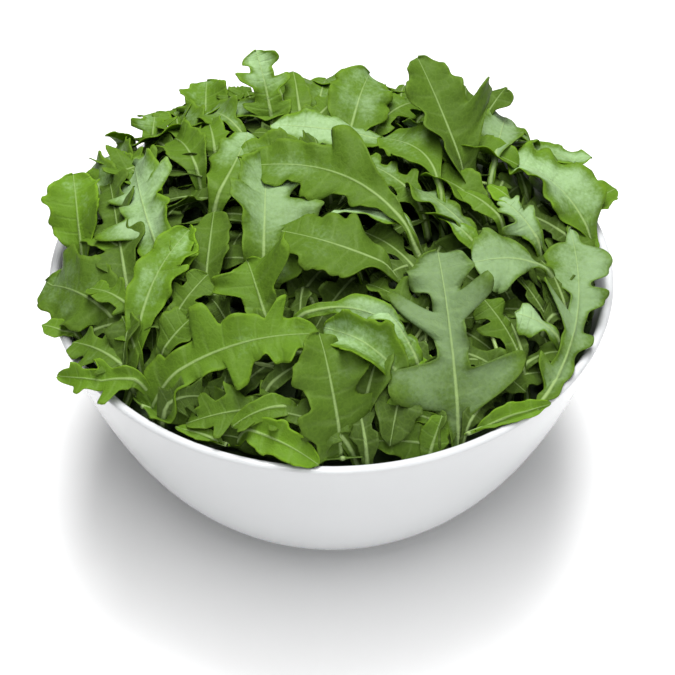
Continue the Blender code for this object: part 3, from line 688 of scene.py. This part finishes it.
def under_leaves():
    """Leaves that lie below the shown ones, spread evenly over the dome by a golden angle, darkened as
    painted shade.
    """
    draw = random.Random(UNDER_SEED)
    for number in range(UNDER_COUNT):
        away = UNDER_RADIUS * math.sqrt((number + 0.5) / UNDER_COUNT)
        angle = number * GOLDEN_ANGLE
        heading = draw.uniform(0, 2 * math.pi)
        length = draw.uniform(*UNDER_LENGTH)
        raised = UNDER_EDGE_LIFT * (away / UNDER_RADIUS) ** UNDER_EDGE_POWER
        ends = []
        for reach in (-length / 2, length / 2):
            x = away * math.cos(angle) + reach * math.cos(heading)
            y = away * math.sin(angle) + reach * math.sin(heading)
            kept = min(1.0, (RIM_RADIUS - UNDER_RIM_GAP) / math.hypot(x, y))
            ends.append((x * kept, y * kept, draw.uniform(*UNDER_LIFT) + raised))
        kind = UNDER_KINDS[number % len(UNDER_KINDS)]
        half = draw.uniform(*UNDER_HALF_WIDTH)
        roll = draw.uniform(-UNDER_ROLL, UNDER_ROLL)
        tone = draw.uniform(*UNDER_TONE)
        # Painted shade: a low lightness for a leaf deep in the heap
        shade = draw.uniform(*UNDER_PAINTED_SHADE)
        yield Leaf(f"under_leaf_{number}", kind, ends[0], ends[1], half, roll=roll, tone=tone, shade=shade)


def turned_grid(profile, turns):
    """Carries a profile of (radius, height) round the axis: a grid of points, first along the profile."""
    angle = np.linspace(0, 2 * np.pi, turns, endpoint=False)
    radius, height = np.asarray(profile, float).T
    return np.stack([radius[:, None] * np.cos(angle), radius[:, None] * np.sin(angle),
                     np.repeat(height[:, None], turns, axis=1)], axis=-1)


def tube_faces(rows, turns):
    """Quads of a grid of rings, with the last turn joined to the first and both end rings capped by quads."""
    index = np.arange(rows * turns).reshape(rows, turns)
    beside = np.roll(index, -1, axis=1)
    sides = np.stack([index[:-1], beside[:-1], beside[1:], index[1:]], axis=-1).reshape(-1, 4)
    near = np.arange(turns // 2 - 1)
    cap = np.stack([near, turns - 1 - near, turns - 2 - near, near + 1], axis=-1)
    return np.concatenate([sides, cap, cap[:, ::-1] + (rows - 1) * turns])


def stem_part(base, tip, arch):
    """A round stem: a circle carried along an arched line over the dome.

    It thins evenly towards its tip, and its ends round off by the square root of the distance from them.
    """
    along = np.linspace(0.0, 1.0, STEM_STEPS)
    base = np.array(base, float)
    tip = np.array(tip, float)
    plan = base[:2] + (tip[:2] - base[:2]) * along[:, None]
    lift = base[2] + (tip[2] - base[2]) * along + arch * np.sin(np.pi * along)
    path = np.column_stack([plan, dome_height(plan[:, 0], plan[:, 1]) + lift])
    ahead = unit(np.gradient(path, axis=0))
    left = unit(np.cross([0.0, 0.0, 1.0], ahead))
    up = np.cross(ahead, left)
    turn = np.linspace(0, 2 * np.pi, STEM_ROUND_STEPS, endpoint=False)
    closing = np.sqrt(np.minimum(1.0, STEM_END_RISE * np.minimum(along, 1 - along) + STEM_END_START))
    radius = (STEM_RADIUS * (1 - STEM_THINNING * along) * closing)[:, None, None]
    ring = np.cos(turn)[None, :, None] * left[:, None] + np.sin(turn)[None, :, None] * up[:, None]
    corners = (path[:, None] + ring * radius).reshape(-1, 3)
    return {"corners": corners * MM, "faces": tube_faces(STEM_STEPS, STEM_ROUND_STEPS)}


def bowl_profile():
    """The bowl's section as (radius, height).

    It starts in the middle of the floor and goes up the inside by the wall's curve, over the lip as a half
    circle, down the outside by the same curve and, after a quarter circle, under the flat base.
    """
    inner_depth = RIM_HEIGHT - FLOOR
    lip_radius = WALL / 2
    spread = np.linspace(0.0, 1.0, WALL_STEPS)
    inside_share = 1 - (1 - (lip_radius / inner_depth)) * spread**INSIDE_CROWDING
    inner_depths = inner_depth * inside_share
    inner_radii = wall_radius(inner_depths, RIM_RADIUS - WALL, inner_depth)
    inner = np.column_stack([inner_radii, RIM_HEIGHT - inner_depths])
    inner[0, 0] = AXIS_RING
    floor_share = np.linspace(0.0, 1.0, FLOOR_STEPS)[1:-1, None]
    floor_points = inner[0] + (inner[1] - inner[0]) * floor_share
    floor_points[:, 1] = np.interp(floor_points[:, 0], [0, inner[1, 0]], [FLOOR, inner[1, 1]])
    turn = np.linspace(np.pi, 0, LIP_STEPS)[1:-1]
    lip = np.column_stack([RIM_RADIUS - lip_radius + lip_radius * np.cos(turn),
                           RIM_HEIGHT - lip_radius + lip_radius * np.sin(turn)])
    outer_share = 1 - (1 - spread) ** OUTSIDE_CROWDING
    outer_depths = lip_radius + (RIM_HEIGHT - BASE_EDGE - lip_radius) * outer_share
    outer = np.column_stack([wall_radius(outer_depths, RIM_RADIUS, RIM_RADIUS), RIM_HEIGHT - outer_depths])
    edge_turn = np.linspace(0, np.pi / 2, EDGE_STEPS)[1:]
    base_radius = outer[-1, 0]
    edge = np.column_stack([base_radius - BASE_EDGE * (1 - np.cos(edge_turn)),
                            BASE_EDGE * (1 - np.sin(edge_turn))])
    under_radii = np.linspace(base_radius - BASE_EDGE, AXIS_RING, BASE_STEPS)[1:]
    under = np.column_stack([under_radii, np.zeros(BASE_STEPS - 1)])
    return np.concatenate([inner[:1], floor_points, inner[1:], lip, outer, edge, under])


def bowl_part():
    """The bowl: its section carried round the axis, with a small cap at the middle of its floor and base."""
    profile = bowl_profile()
    corners = turned_grid(profile, ROUND_STEPS).reshape(-1, 3)
    return {"corners": corners * MM, "faces": tube_faces(len(profile), ROUND_STEPS)}


def core_part():
    """The inside of the heap, nearly black as painted shade in the gaps between the leaves.

    Its top is the dome, lowered, with bumps of crossed sines that fade out towards its edge, where it turns
    down to a fixed depth. Its side then follows the bowl's inner curve down to the floor.
    """
    inner_depth = RIM_HEIGHT - FLOOR - CORE_GAP
    inner_radius = RIM_RADIUS - WALL - CORE_GAP
    edge_radius = wall_radius(CORE_EDGE_DEPTH, inner_radius, inner_depth)
    top_radii = np.linspace(CORE_FIRST_SHARE, 1.0, CORE_TOP_STEPS) ** CORE_CROWDING * edge_radius
    top_radii[0] = AXIS_RING
    top = turned_grid(np.column_stack([top_radii, np.zeros(CORE_TOP_STEPS)]), CORE_ROUND_STEPS)
    x = top[..., 0]
    y = top[..., 1]
    length, sway, sway_length = CORE_BUMPS_ACROSS
    bumps = np.sin(x / length + sway * np.sin(y / sway_length))
    length, sway, sway_length = CORE_BUMPS_ALONG
    bumps = bumps + np.cos(y / length + sway * np.sin(x / sway_length))
    share = (top_radii / edge_radius)[:, None]
    middle = dome_height(x, y) - CORE_DROP + CORE_BUMP * bumps * (1 - share**CORE_BUMP_FADE)
    turn_down = share**CORE_EDGE_TURN
    top[..., 2] = middle * (1 - turn_down) + (RIM_HEIGHT - CORE_EDGE_DEPTH) * turn_down
    depths = np.linspace(CORE_EDGE_DEPTH, inner_depth, CORE_SIDE_STEPS)[1:]
    radii = wall_radius(depths, inner_radius, inner_depth)
    radii[-1] = AXIS_RING
    side = turned_grid(np.column_stack([radii, RIM_HEIGHT - depths]), CORE_ROUND_STEPS)
    grid = np.concatenate([top, side])
    return {"corners": grid.reshape(-1, 3) * MM, "faces": tube_faces(len(grid), CORE_ROUND_STEPS)[:, ::-1]}


class Nodes:
    """Short calls for building one node tree."""

    def __init__(self, tree):
        self.tree = tree

    def add(self, kind, **settings):
        """A new node of a kind, with its settings."""
        node = self.tree.nodes.new(kind)
        for key, value in settings.items():
            setattr(node, key, value)
        return node

    def put(self, socket, value):
        """Links a socket to an input, or gives the input a plain value."""
        if isinstance(value, bpy.types.NodeSocket):
            self.tree.links.new(value, socket)
        else:
            socket.default_value = value

    def math(self, operation, *values):
        """The result of one math operation."""
        node = self.add("ShaderNodeMath", operation=operation)
        for socket, value in zip(node.inputs, values):
            self.put(socket, value)
        return node.outputs[0]

    def ease(self, value, low, high, start, end):
        """Runs smoothly from start to end while the value goes from low to high."""
        node = self.add("ShaderNodeMapRange", interpolation_type="SMOOTHSTEP")
        sockets = ("Value", "From Min", "From Max", "To Min", "To Max")
        for name, given in zip(sockets, (value, low, high, start, end)):
            self.put(node.inputs[name], given)
        return node.outputs["Result"]

    def mix(self, share, first, second):
        """The first colour, mixed with a share of the second."""
        node = self.add("ShaderNodeMix", data_type="RGBA")
        self.put(node.inputs["Factor"], share)
        self.put(node.inputs["A"], first)
        self.put(node.inputs["B"], second)
        return node.outputs["Result"]

    def value(self, name):
        """A value that each point of the mesh carries."""
        return self.add("ShaderNodeAttribute", attribute_name=name).outputs["Fac"]

    def noise(self, vector, scale, detail=2.0):
        """Soft noise between 0 and 1, with its middle near a half."""
        node = self.add("ShaderNodeTexNoise")
        self.put(node.inputs["Vector"], vector)
        node.inputs["Scale"].default_value = scale
        node.inputs["Detail"].default_value = detail
        return node.outputs["Fac"]

    def drift(self, vector, scale, detail, strength):
        """Noise less a half, times a strength, so that it goes both ways from 0."""
        about_zero = self.math("SUBTRACT", self.noise(vector, scale, detail), 0.5)
        return self.math("MULTIPLY", about_zero, strength)

    def bump(self, height, strength, distance):
        """A normal that follows a height."""
        node = self.add("ShaderNodeBump")
        self.put(node.inputs["Height"], height)
        node.inputs["Strength"].default_value = strength
        node.inputs["Distance"].default_value = distance
        return node.outputs["Normal"]


def new_group(name, inputs, outputs):
    """A node group with named sockets: the group, its nodes, what it is given and what it returns."""
    group = bpy.data.node_groups.new(name, "ShaderNodeTree")
    for socket_name, kind in inputs:
        group.interface.new_socket(socket_name, in_out="INPUT", socket_type=kind)
    for socket_name, kind in outputs:
        group.interface.new_socket(socket_name, in_out="OUTPUT", socket_type=kind)
    nodes = Nodes(group)
    return group, nodes, nodes.add("NodeGroupInput").outputs, nodes.add("NodeGroupOutput").inputs


def vein_group():
    """Veins of a leaf: a tapering midrib, side veins at whole vein counts, and a faint net between them."""
    group, nodes, given, result = new_group(
        "leaf_veins",
        [("Map", "NodeSocketVector"), ("Place", "NodeSocketVector"), ("Rib Width", "NodeSocketFloat")],
        [("Veins", "NodeSocketFloat"), ("Net", "NodeSocketFloat"), ("Height", "NodeSocketFloat")],
    )
    parts = nodes.add("ShaderNodeSeparateXYZ")
    nodes.put(parts.inputs[0], given["Map"])
    out = nodes.math("ABSOLUTE", parts.outputs["X"])
    rib = nodes.ease(nodes.math("DIVIDE", out, given["Rib Width"]), *MIDRIB_FALL)
    count = nodes.math("ADD", parts.outputs["Y"], nodes.drift(given["Place"], *VEIN_WANDER))
    off = nodes.math("ABSOLUTE", nodes.math("SUBTRACT", count, nodes.math("ROUND", count)))
    side = nodes.math("MULTIPLY", nodes.ease(off, *SIDE_VEIN_FALL), nodes.ease(out, *SIDE_VEIN_FADE))
    cells = nodes.add("ShaderNodeTexVoronoi", feature="DISTANCE_TO_EDGE")
    nodes.put(cells.inputs["Vector"], given["Place"])
    cells.inputs["Scale"].default_value = NET_SCALE
    net = nodes.ease(cells.outputs["Distance"], *NET_FALL)
    nodes.put(result["Veins"], nodes.math("MAXIMUM", rib, nodes.math("MULTIPLY", side, SIDE_VEIN_SHARE)))
    nodes.put(result["Net"], net)
    scale, detail, strength = PUCKER
    height = nodes.math("MULTIPLY", nodes.noise(given["Place"], scale, detail), strength)
    for part, part_height in ((side, SIDE_VEIN_HEIGHT), (net, NET_HEIGHT), (rib, MIDRIB_HEIGHT)):
        height = nodes.math("ADD", height, nodes.math("MULTIPLY", part, part_height))
    nodes.put(result["Height"], height)
    return group


def leaf_material(name, veins):
    """A leaf's waxy blade: from bluish bloom with a painted sheen to yellow green by its tone, with pale
    veins and a bright edge. Its shade partly paints light and shade.
    """
    material = bpy.data.materials.new(name)
    material.use_nodes = True
    nodes = Nodes(material.node_tree)
    shader = material.node_tree.nodes["Principled BSDF"]
    place = nodes.add("ShaderNodeTexCoord").outputs["Object"]
    pattern = nodes.add("ShaderNodeGroup", node_tree=veins)
    nodes.put(pattern.inputs["Map"], nodes.add("ShaderNodeUVMap", uv_map="leaf_map").outputs["UV"])
    nodes.put(pattern.inputs["Place"], place)
    nodes.put(pattern.inputs["Rib Width"], nodes.value("rib"))

    tone = nodes.value("tone")
    for added in (nodes.drift(place, *BLOTCHES), nodes.drift(place, *MOTTLE),
                  nodes.ease(nodes.value("edge"), *EDGE_TONE), nodes.ease(nodes.value("rib"), *BASE_TONE)):
        tone = nodes.math("ADD", tone, added)
    # The bloom end of the tone carries a painted sheen as well as the leaf's bloom
    colour = nodes.mix(nodes.ease(tone, *BLOOM_AND_SHEEN_TO_CLEAR), BLOOM_AND_SHEEN_GREEN, CLEAR_GREEN)
    colour = nodes.mix(nodes.ease(nodes.value("edge"), *BRIGHT_EDGE), colour, EDGE_GREEN)
    scale, detail, strength = FLECKS
    fleck = nodes.math("MULTIPLY", nodes.noise(place, scale, detail), strength)
    # The shade scales the colour: the leaf's own lightness with painted light and shade, and fine flecks
    dimmed = nodes.add("ShaderNodeVectorMath", operation="SCALE")
    nodes.put(dimmed.inputs[0], colour)
    nodes.put(dimmed.inputs["Scale"],
              nodes.math("MULTIPLY", nodes.value("shade"), nodes.math("ADD", DARKEST_FLECK, fleck)))
    net_share = nodes.math("MULTIPLY", pattern.outputs["Net"], NET_SHARE)
    colour = nodes.mix(net_share, dimmed.outputs[0], NET_GREEN)
    vein_strength = nodes.ease(nodes.value("rib"), *VEIN_STRENGTH)
    vein_share = nodes.math("MULTIPLY", pattern.outputs["Veins"], vein_strength)
    colour = nodes.mix(vein_share, colour, VEIN_GREEN)
    under_share = nodes.math("MULTIPLY", nodes.value("under"), UNDERSIDE_SHARE)
    colour = nodes.mix(under_share, colour, UNDERSIDE_GREEN)
    nodes.put(shader.inputs["Base Color"], colour)
    nodes.put(shader.inputs["Roughness"], nodes.ease(nodes.noise(place, SHEEN_SCALE), *LEAF_ROUGHNESS))
    nodes.put(shader.inputs["Normal"],
              nodes.bump(pattern.outputs["Height"], LEAF_BUMP_STRENGTH, LEAF_BUMP_DISTANCE))
    shader.inputs["Specular IOR Level"].default_value = LEAF_SHINE
    return material


def plain_material(name, finish):
    """A mottled finish between two colours, with a fine bump."""
    material = bpy.data.materials.new(name)
    material.use_nodes = True
    nodes = Nodes(material.node_tree)
    shader = material.node_tree.nodes["Principled BSDF"]
    place = nodes.add("ShaderNodeTexCoord").outputs["Object"]
    mottle = nodes.noise(place, finish.scale, MOTTLE_DETAIL)
    grain = nodes.noise(place, finish.scale * GRAIN_FINENESS)
    nodes.put(shader.inputs["Base Color"], nodes.mix(mottle, finish.low, finish.high))
    nodes.put(shader.inputs["Roughness"], nodes.ease(mottle, *MOTTLE_RANGE, *finish.roughness))
    nodes.put(shader.inputs["Normal"], nodes.bump(grain, GRAIN_STRENGTH, finish.bump))
    return material


def dress(piece, node):
    """Fixes a piece to the part's body and hides the solid that it stands in for."""
    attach(piece, "root")
    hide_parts(node)


def add_object(name, data, place=(0, 0, 0), aim=None):
    """A new object at a place, which looks at its aim where it has one."""
    added = bpy.data.objects.new(name, data)
    added.location = place
    if aim is not None:
        added.rotation_euler = (Vector(aim) - Vector(place)).to_track_quat("-Z", "Y").to_euler()
    bpy.context.scene.collection.objects.link(added)
    return added


def studio():
    """A pale floor, a faint white world, soft lights overhead, behind and in front, and the camera."""
    scene = bpy.context.scene
    scene.view_settings.view_transform = "Standard"
    world = bpy.data.worlds.new("studio")
    world.use_nodes = True
    background = world.node_tree.nodes["Background"]
    background.inputs["Color"].default_value = WORLD_WHITE
    background.inputs["Strength"].default_value = WORLD_STRENGTH
    scene.world = world
    for name, width, depth, power, place, aim in LIGHTS:
        light = bpy.data.lights.new(name, "AREA")
        light.shape = "RECTANGLE"
        light.size = width
        light.size_y = depth
        light.energy = power
        add_object(name, light, place, aim)
    mesh = bpy.data.meshes.new("floor")
    ends = (-FLOOR_HALF, FLOOR_HALF)
    mesh.from_pydata([(x, y, 0) for y in ends for x in ends], [], [(0, 1, 3, 2)])
    mesh.materials.append(plain_material("floor_paint", FLOOR_FINISH))
    add_object("floor", mesh)
    camera = bpy.data.cameras.new("camera")
    camera.lens = CAMERA_LENS
    camera.sensor_width = CAMERA_SENSOR
    scene.camera = add_object("camera", camera, CAMERA_PLACE, CAMERA_AIM)


def main():
    """Makes every piece, then the studio."""
    leaf_green = leaf_material("rocket_leaf", vein_group())
    placed = {"lobed_leaves": LOBED_LEAVES, "broad_leaves": BROAD_LEAVES, "narrow_leaves": NARROW_LEAVES,
              "back_leaves": back_leaves()}
    for name, leaves in placed.items():
        piece = mesh_piece(name, [leaf_part(leaf) for leaf in leaves], leaf_green)
        dress(piece, "rocket_leaves")
    parts = [leaf_part(leaf, UNDER_ROW_SPACING, UNDER_COLUMNS) for leaf in under_leaves()]
    dress(mesh_piece("under_leaves", parts, leaf_green), "rocket_leaves")
    parts = [stem_part(*stem) for stem in STEMS]
    stem_green = plain_material("stem_green", STEM_FINISH)
    dress(mesh_piece("stems", parts, stem_green), "rocket_leaves")
    # The core's finish is painted shade for the gaps between the leaves
    deep_green = plain_material("deep_green", CORE_SHADOW_FINISH)
    dress(mesh_piece("heap_core", [core_part()], deep_green), "rocket_leaves")
    glaze = plain_material("white_glaze", GLAZE_FINISH)
    dress(mesh_piece("glazed_bowl", [bowl_part()], glaze), "bowl")
    studio()


main()
